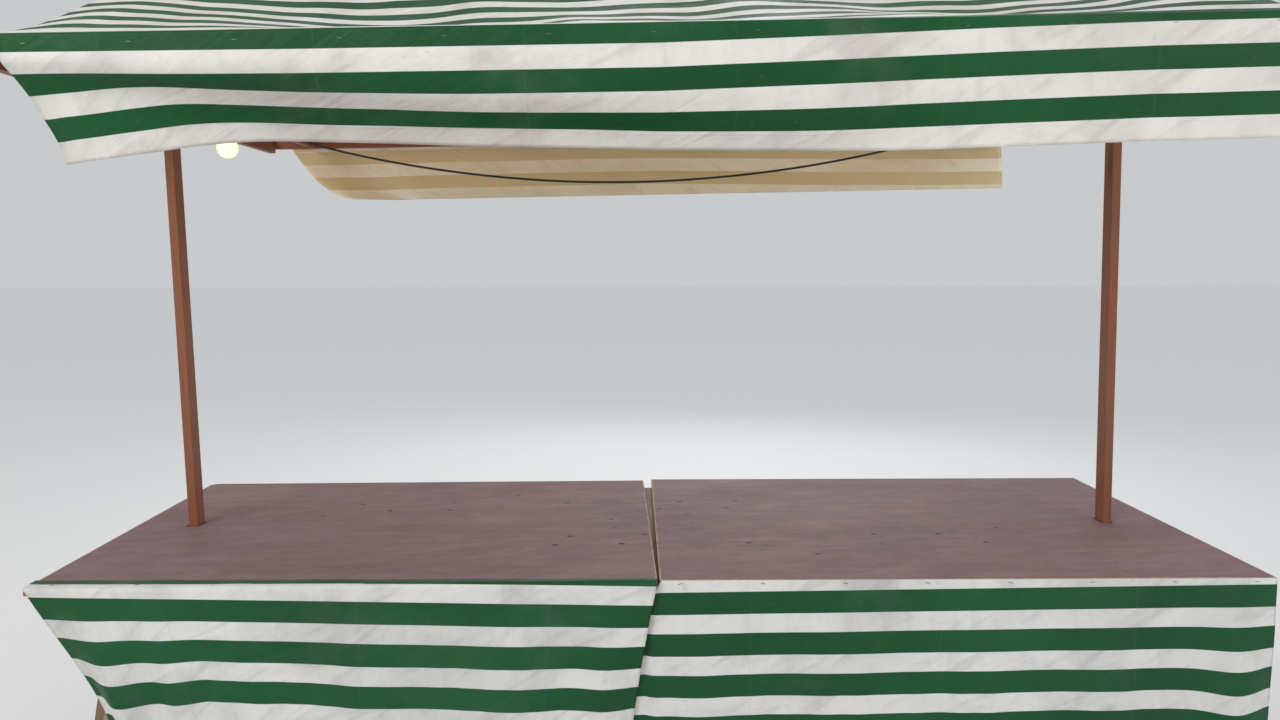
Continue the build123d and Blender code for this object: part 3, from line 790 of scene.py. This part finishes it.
def canopy_place(right_share, back_share):
    """Where a spot of the canopy hangs and its flat place, for its shares of the way right and back."""
    column, row = round(right_share * canopy_columns), round(back_share * canopy_rows)
    along, depth = canopy_alongs[column], canopy_depths[row]
    if depth >= 0:
        spot = on_valance(column, depth)
    elif depth > back_fold_at:
        spot = on_slope(column, depth)
    else:
        spot = on_flap(column, depth)
    askew = np.interp(along, askew_places, askew_drops)
    flat_depth = depth * (1 + askew / valance if depth > 0 else 1)
    return in_frame(*spot), (along, flat_depth - askew - first_green_starts)


cloth_thickness = 0.0007


def show_sheet(name, columns, rows, place, face, reverse, node):
    """Shows a sheet with its thickness and with a finish for each side."""
    piece = show(name, lay_sheet(columns, rows, place), face, [node])
    piece.data.materials.append(reverse)
    wall = piece.modifiers.new("thickness", "SOLIDIFY")
    wall.thickness = cloth_thickness
    wall.offset = -1
    wall.material_offset = 1
    return piece


canopy = show_sheet(
    "striped_canopy",
    canopy_columns,
    canopy_rows,
    canopy_place,
    canopy_stripes,
    canopy_reverse_painted_glow,
    "canopy_sheet",
)

staple_steel = rusty_steel("staple_steel", paint(122, 122, 118), 0.5)
staple_crown = Matrix.Diagonal((0.0106, 0.0013, 0.0009, 1))


def staples(name, spots):
    """Wire staples, each with its crown across a place, facing outward and turned a little."""
    wires = bmesh.new()
    for place, outward, turned in spots:
        matrix = turn_to(place, outward) @ Matrix.Rotation(turned, 4, "Z")
        bmesh.ops.create_cube(wires, size=1, matrix=matrix @ staple_crown)
    bmesh.ops.bevel(
        wires, geom=wires.edges[:], offset=0.0002, affect="EDGES", segments=1, profile=0.5, material=-1
    )
    return show(name, finished_mesh(wires), staple_steel)


first_staple, staple_spacing, below_fold = 0.06, 0.232, 0.02
canopy_spots = []
for k in range(13):
    along = canopy_left + first_staple + k * staple_spacing
    for side in (-1, 1):
        place = in_frame(along, side * eave_y, eave_up - below_fold)
        canopy_spots.append((place, (0, side, 0), 0.3 * waves(along, side * eave_y, 8.8, 0.1)))
    place = in_frame(along, ridge_y, ridge_up + 0.0004)
    canopy_spots.append((place, (0, 0, 1), 0.4 * waves(along, 0, 2.2, 0.1)))
staples("canopy_staples", canopy_spots)

# Skirts. Two offcuts of the same sheeting hide the trestles. The left one is folded over its
# board's front edge, and the right one is tacked along the edge and reaches behind the left one.

skirt_pitch, skirt_green = 0.1025, 0.54
skirt_stripes = striped_sheeting(
    "skirt_face",
    skirt_pitch,
    skirt_green,
    green=paint(18, 72, 38),
    faded_green=paint(26, 86, 48),
    white=paint(216, 215, 210),
    grime_and_shade=paint(148, 146, 142),
)
skirt_reverse = striped_sheeting(
    "skirt_reverse",
    skirt_pitch,
    skirt_green,
    green=paint(218, 202, 160),
    faded_green=paint(210, 194, 152),
    white=paint(244, 233, 208),
    grime_and_shade=paint(206, 190, 158),
)
board_length, right_skirt_length, skirt_overlap, hem_up = 1.5, 1.58, 0.08, 0.05
skirt_drop = board_top - hem_up

# Each skirt's folds: how far it stands out, how much it slants, and its middle and width.
left_skirt_folds = (
    (0.034, 0.05, -1.385, 0.052), (0.02, 0.0, -1.225, 0.05), (0.012, -0.06, -1.02, 0.09),
    (0.013, 0.1, -0.7, 0.1), (0.017, 0.0, -0.345, 0.1), (0.011, 0.0, -0.1, 0.05),
)
right_skirt_folds = (
    (0.01, 0.0, 0.1, 0.09), (0.012, -0.05, 0.42, 0.12), (0.008, 0.08, 0.8, 0.13),
    (0.009, 0.0, 1.1, 0.08), (0.024, 0.06, 1.43, 0.06),
)


def stand_out(folds, u, v):
    return sum(height * bulge(u + slant * v, middle, width) for height, slant, middle, width in folds)


def left_skirt_place(right_share, up_share):
    """Where a spot of the left skirt hangs and its flat place. u runs from the outer side to the
    seam, and v down the cloth from the board's front edge, over which its first few cm are folded."""
    u = board_length * (right_share - 1)
    on_board = 0.056 - 0.034 * right_share + 0.0025 * waves(u, 0, 1.9, 0.12)
    v = skirt_drop - up_share * (skirt_drop + on_board)
    corner, fold_half, lift, clear = 0.0045, 0.004, 0.002, 0.0026
    if v < -fold_half:
        out = clear - corner + v + fold_half
        up = board_top + lift + 0.0012 * (1 + waves(u, v, 3.3, 0.08))
    elif v < fold_half:
        angle = (v + fold_half) / (2 * fold_half) * pi / 2
        out = clear - corner + corner * sin(angle)
        up = board_top + lift - corner + corner * cos(angle)
    else:
        loose = ease(v, 0.0, 0.26) * (0.55 + v / skirt_drop)
        ripple = 0.006 * (1 + waves(u, v, 7.4, 0.16, 0.35)) + 0.0035 * waves(u, v, 4.2, 0.06, 0.4)
        out = clear + loose * (stand_out(left_skirt_folds, u, v) + ripple)
        out -= 0.045 * ease(v, 0.02, 0.34) * bulge(u, -board_length, 0.05)
        out -= 0.016 * ease(v, 0.05, 0.4) * bulge(u, 0, 0.03)
        up = board_top + lift - corner - (v - fold_half)
        up += ease(v, 0, 0.3) * (0.006 * waves(u, v, 8.1, 0.3, 0.4) + 0.012 * bulge(u, -1.05, 0.26))
    down = max(0.0, v)
    left_taper = (0.6 * down - 0.36 * down**2) * exp(-(((u + board_length) / 0.42) ** 1.5))
    right_taper = (0.215 * down - 0.128 * down**2) * exp(-((-u / 0.25) ** 1.5))
    drawn = u + left_taper - right_taper
    x = seam_x - board_gap / 2 + drawn * cos(board_turn) + out * sin(board_turn)
    y = left_front + drawn * sin(board_turn) - out * cos(board_turn)
    return (x, y, up), (u, v - 0.02 - 0.038 * right_share)


def right_skirt_place(right_share, up_share):
    """The same for the right skirt, whose inner side is set back behind the left skirt."""
    u = right_skirt_length * right_share - skirt_overlap
    v = skirt_drop * (1 - up_share)
    loose = ease(v, 0.0, 0.3) * (0.5 + v / skirt_drop)
    ripple = 0.005 * (1 + waves(u, v, 12.4, 0.17, 0.35)) + 0.0035 * waves(u, v, 14.2, 0.06, 0.4)
    folds = stand_out(right_skirt_folds, u, v) + ripple
    set_back = ease(u, -0.006, -0.024) * ease(v, 0.015, 0.05)
    out = 0.0016 + loose * folds * (1 - set_back) - 0.001 * set_back
    out -= 0.012 * ease(v, 0.1, 0.4) * bulge(u, board_length, 0.03)
    if u < 0:
        out = min(out, 0.008)
    behind = ease(u, 0.0, -0.01) * max(0.0, 0.03 - v)
    up = board_top - 0.0005 - v - behind - 0.012 * ease(v, 0.02, 0.3) * bulge(u, 1.39, 0.08)
    x = seam_x + board_gap / 2 + u - 0.012 * ease(v, 0.02, 0.2) * bulge(u, 0, 0.05)
    return (x, right_front - out, up), (u, v - 0.03 + 0.01 * u)


left_skirt = show_sheet(
    "left_striped_skirt", 170, 96, left_skirt_place, skirt_stripes, skirt_reverse, "left_skirt"
)
right_skirt = show_sheet(
    "right_striped_skirt", 170, 90, right_skirt_place, skirt_stripes, skirt_reverse, "right_skirt"
)

# The left skirt's staples go down through its fold, and the right one's into its board's edge.
first_left, first_right, skirt_spacing = -1.44, 0.05, 0.2
behind_edge, over_board, off_edge, below_top = 0.015, 0.0034, 0.0024, 0.009
skirt_spots = []
for k in range(8):
    u = first_left + skirt_spacing * k
    x = seam_x - board_gap / 2 + u * cos(board_turn)
    y = left_front + u * sin(board_turn) + behind_edge
    place = (x, y, board_top + over_board)
    skirt_spots.append((place, (0, 0, 1), 0.4 * waves(u, 0, 3.7, 0.1)))
    x = seam_x + board_gap / 2 + first_right + skirt_spacing * k
    place = (x, right_front - off_edge, board_top - below_top)
    skirt_spots.append((place, (0, -1, 0), 0.4 * waves(x, 1, 3.7, 0.1)))
staples("skirt_staples", skirt_spots)

# Lamps. A moulded lamp holder hangs under each cross arm with a frosted bulb in it, and one black
# cord sags between them from inlet to inlet.


def moulded_plastic():
    finish, tree, shader = new_finish("holder_plastic", 0.42)
    place = object_place(tree)
    scuffs = fade(clouds(place, 190, 6.0, 0.7), 0.45, 0.7)
    colour = mix(scuffs, paint(28, 27, 27), paint(58, 55, 52))
    feed(shader, colour, fade(scuffs, 0, 1, 0.36, 0.6))
    raise_surface(shader, clouds(place, 900, 3.0, 0.6), 0.00012, 0.5)
    return finish


def opal_glass():
    """Frosted glass with the warm light of the lit lamp in it, in soft patches that drift over the globe.
    """
    finish, tree, shader = new_finish("bulb_glass", 0.3)
    place = object_place(tree)
    frost = clouds(place, 420, 3.0, 0.6)
    glass = mix(fade(frost, 0.4, 0.6), paint(250, 240, 214), paint(244, 230, 198))
    tree.links.new(glass, shader.inputs["Base Color"])
    drift = fade(clouds(place, 24, 2.0, 0.5), 0.35, 0.65)
    glow = mix(drift, paint(255, 214, 140), paint(255, 232, 180))
    tree.links.new(glow, shader.inputs["Emission Color"])
    shader.inputs["Emission Strength"].default_value = 1.4
    shader.inputs["Coat Weight"].default_value = 0.3
    raise_surface(shader, frost, 0.00005, 0.4)
    return finish


holder_plastic = moulded_plastic()
bulb_glass = opal_glass()

# The lamps' places are in the leaning frame. The holder's profile is measured from its top, and the
# bulb's from the holder's mouth.
lamp_y, holder_top, mouth_up = 0.03, 2.065, 2.025
lamp_places = {"left": -1.29664, "right": 1.33235}
holder_profile = [
    (0.0, 0.0), (0.0185, 0.0), (0.02, -0.0015), (0.02, -0.009), (0.0186, -0.0105),
    (0.0186, -0.0125), (0.0198, -0.014), (0.0196, -0.026), (0.0184, -0.0275), (0.0184, -0.029),
    (0.02, -0.0305), (0.02, -0.0385), (0.019, -0.04), (0.0164, -0.04), (0.0153, -0.0388),
    (0.0151, -0.012), (0.0, -0.012),
]
# The thread, the neck that widens down to the globe's shoulder, and the globe to its tip.
globe_middle, globe_radius, shoulder = -0.055, 0.032, radians(38)
neck_up, shoulder_up = -0.011, globe_middle + globe_radius * sin(shoulder)
thread_root, thread_depth, half_turn = 0.0131, 0.0009, 0.0018
bulb_profile = [(0.0, 0.0265), (0.009, 0.0265), (0.0105, 0.0245)]
for k in range(12):
    bulb_profile.append((thread_root + thread_depth * (k % 2), 0.0225 - half_turn * k))
bulb_profile += [(0.0133, 0.001), (0.0137, -0.004)]
for k in range(8):
    share = k / 8
    radius = 0.0142 + 0.003 * share + 0.008 * share**2
    bulb_profile.append((radius, neck_up + (shoulder_up - neck_up) * share))
for k in range(17):
    angle = shoulder - (shoulder + pi / 2) * k / 16
    bulb_profile.append((globe_radius * cos(angle), globe_middle + globe_radius * sin(angle)))

# Along the inlet's axis from inside the holder's wall: its boss, and the ribbed strain relief
# that tapers round the cord from where the boss ends.
inlet_up, inlet_end, relief_length = 2.035, 0.032, 0.026
inlet_profile = [
    (0.0, 0.0175), (0.0078, 0.0175), (0.0078, 0.0206), (0.0068, 0.0222), (0.0061, 0.0236),
    (0.006, 0.0308), (0.0055, inlet_end), (0.0, inlet_end),
]
rib_radius, rib_spacing, groove = 0.0053, 0.0039, 0.0007
relief_profile = [(0.0, inlet_end - 0.001), (rib_radius, inlet_end - 0.001)]
for k in range(6):
    rib, radius = inlet_end + 0.001 + rib_spacing * k, rib_radius - 0.0002 * k
    relief_profile += [(radius, rib), (radius, rib + 0.0017)]
    relief_profile += [(radius - groove, rib + 0.0022), (radius - groove, rib + 0.0034)]
relief_profile += [(0.0037, inlet_end + relief_length), (0.0, inlet_end + relief_length)]
for side, along in lamp_places.items():
    inlet_place, inwards = (along, lamp_y, inlet_up), pi / 2 if side == "left" else -pi / 2
    holder = turned_piece(holder_profile, (along, lamp_y, holder_top))
    show(f"{side}_lamp_holder", holder, holder_plastic, ["lamp_holders"])
    bulb = turned_piece(bulb_profile, (along, lamp_y, mouth_up), steps=56)
    show(f"{side}_bulb", bulb, bulb_glass, ["bulbs"])
    inlet = turned_piece(inlet_profile, inlet_place, inwards, 32)
    show(f"{side}_inlet_boss", inlet, holder_plastic, ["lamp_holders"])
    relief = turned_piece(relief_profile, inlet_place, inwards, 32)
    show(f"{side}_strain_relief", relief, holder_plastic)

# The cord's middle line, from inside the left strain relief to inside the right one.
cord_points = [
    (-1.29997, 0.03, 2.01262), (-1.27797, 0.03, 2.013), (-1.24, 0.03, 2.01), (-1.181, 0.031, 1.996),
    (-1.099, 0.032, 1.97), (-1.004, 0.034, 1.943), (-0.907, 0.036, 1.921), (-0.809, 0.037, 1.902),
    (-0.709, 0.038, 1.885), (-0.609, 0.038, 1.871), (-0.509, 0.037, 1.859), (-0.409, 0.035, 1.85),
    (-0.309, 0.033, 1.843), (-0.209, 0.03, 1.839), (-0.109, 0.028, 1.838), (-0.009, 0.026, 1.839),
    (0.091, 0.025, 1.843), (0.191, 0.024, 1.85), (0.291, 0.024, 1.859), (0.391, 0.025, 1.871),
    (0.491, 0.026, 1.885), (0.591, 0.027, 1.902), (0.691, 0.028, 1.922), (0.791, 0.029, 1.944),
    (0.891, 0.03, 1.969), (0.986, 0.03, 1.995), (1.076, 0.03, 2.021), (1.14, 0.03, 2.039),
    (1.19, 0.03, 2.05), (1.222, 0.03, 2.055), (1.24264, 0.03, 2.057), (1.26464, 0.03, 2.05738),
]


def cord_sheath():
    finish, tree, shader = new_finish("cord_sheath", 0.46)
    place = object_place(tree)
    dull = fade(clouds(stretch(place, (60, 200, 200)), 1.0, 5.0, 0.65), 0.4, 0.7)
    colour = mix(dull, paint(24, 22, 22), paint(52, 47, 43))
    feed(shader, colour, fade(dull, 0, 1, 0.4, 0.7))
    raise_surface(shader, dull, 0.0002, 0.5)
    return finish


cord_line = bpy.data.curves.new("sagging_lamp_cord", "CURVE")
cord_line.dimensions = "3D"
cord_spline = cord_line.splines.new("NURBS")
cord_spline.points.add(len(cord_points) - 1)
for point, spot in zip(cord_spline.points, cord_points):
    point.co = (*spot, 1)
cord_spline.order_u = 3
cord_spline.use_endpoint_u = True
cord_spline.resolution_u = 6
cord_line.bevel_depth = 0.0035
cord_line.bevel_resolution = 4
cord_line.use_fill_caps = True
cord = show("sagging_lamp_cord", cord_line, cord_sheath(), ["lamp_cord"])

# Setting. A plain pale floor and backdrop, soft daylight from above and in front, and the camera
# where a customer stands. None of it is part of the stall.

ground = bmesh.new()
bmesh.ops.create_grid(ground, x_segments=1, y_segments=1, size=60)
floor_mesh = finished_mesh(ground)
floor_finish, tree, shader = new_finish("pale_floor", 0.9)
speckle = clouds(object_place(tree), 30, 4.0, 0.6)
floor_colour = mix(speckle, paint(231, 230, 228), paint(236, 235, 233))
tree.links.new(floor_colour, shader.inputs["Base Color"])
floor_mesh.materials.append(floor_finish)
put_in_scene("floor", floor_mesh)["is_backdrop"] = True

world = bpy.data.worlds.new("pale_room")
bpy.context.scene.world = world
world.use_nodes = True
tree = world.node_tree
background = tree.nodes["Background"]
background.inputs["Color"].default_value = (0.93, 0.96, 1.0, 1)
background.inputs["Strength"].default_value = 0.72
seen = add_node(tree, "Background", {"Color": (0.575, 0.588, 0.598, 1), "Strength": 1.0})
rays = add_node(tree, "LightPath", {})
seen_share = calc("MAXIMUM", rays.outputs["Is Camera Ray"], rays.outputs["Is Glossy Ray"])
seen_share = calc("MAXIMUM", seen_share, rays.outputs["Is Transmission Ray"])
chosen = add_node(tree, "MixShader", {0: seen_share, 1: background.outputs[0], 2: seen.outputs[0]})
tree.links.new(chosen.outputs[0], tree.nodes["World Output"].inputs["Surface"])


def soft_light(name, place, aim, size, power, colour):
    lamp = bpy.data.lights.new(name, "AREA")
    lamp.shape = "SQUARE"
    lamp.size = size
    lamp.energy = power
    lamp.color = colour
    stand = put_in_scene(name, lamp)
    stand.location = place
    stand.rotation_euler = (Vector(aim) - Vector(place)).to_track_quat("-Z", "Y").to_euler()


soft_light("front_left_light", (-3.6, -5.2, 4.4), (0, -0.2, 1.2), 3.2, 150, (1.0, 0.97, 0.93))
soft_light("front_right_light", (4.4, -4.6, 3.0), (0, 0, 1.1), 3.0, 55, (0.95, 0.97, 1.0))
soft_light("back_light", (1.0, 5.2, 4.2), (0, 0.2, 1.4), 3.4, 90, (0.97, 0.98, 1.0))

# The lens, place and aim were solved from where the boards' and posts' corners are in the photo.
camera_lens = bpy.data.cameras.new("customer_view")
camera_lens.sensor_width = 36
camera_lens.lens = 27.44
camera = put_in_scene("customer_view", camera_lens)
camera.matrix_world = (
    Matrix.Translation((-0.049, -3.118, 1.585))
    @ Matrix.Rotation(radians(-0.401), 4, "Z")
    @ Matrix.Rotation(radians(90 - 5.73), 4, "X")
    @ Matrix.Rotation(radians(-0.115), 4, "Z")
)
bpy.context.scene.camera = camera
bpy.context.scene.view_settings.view_transform = "Standard"

low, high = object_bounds()
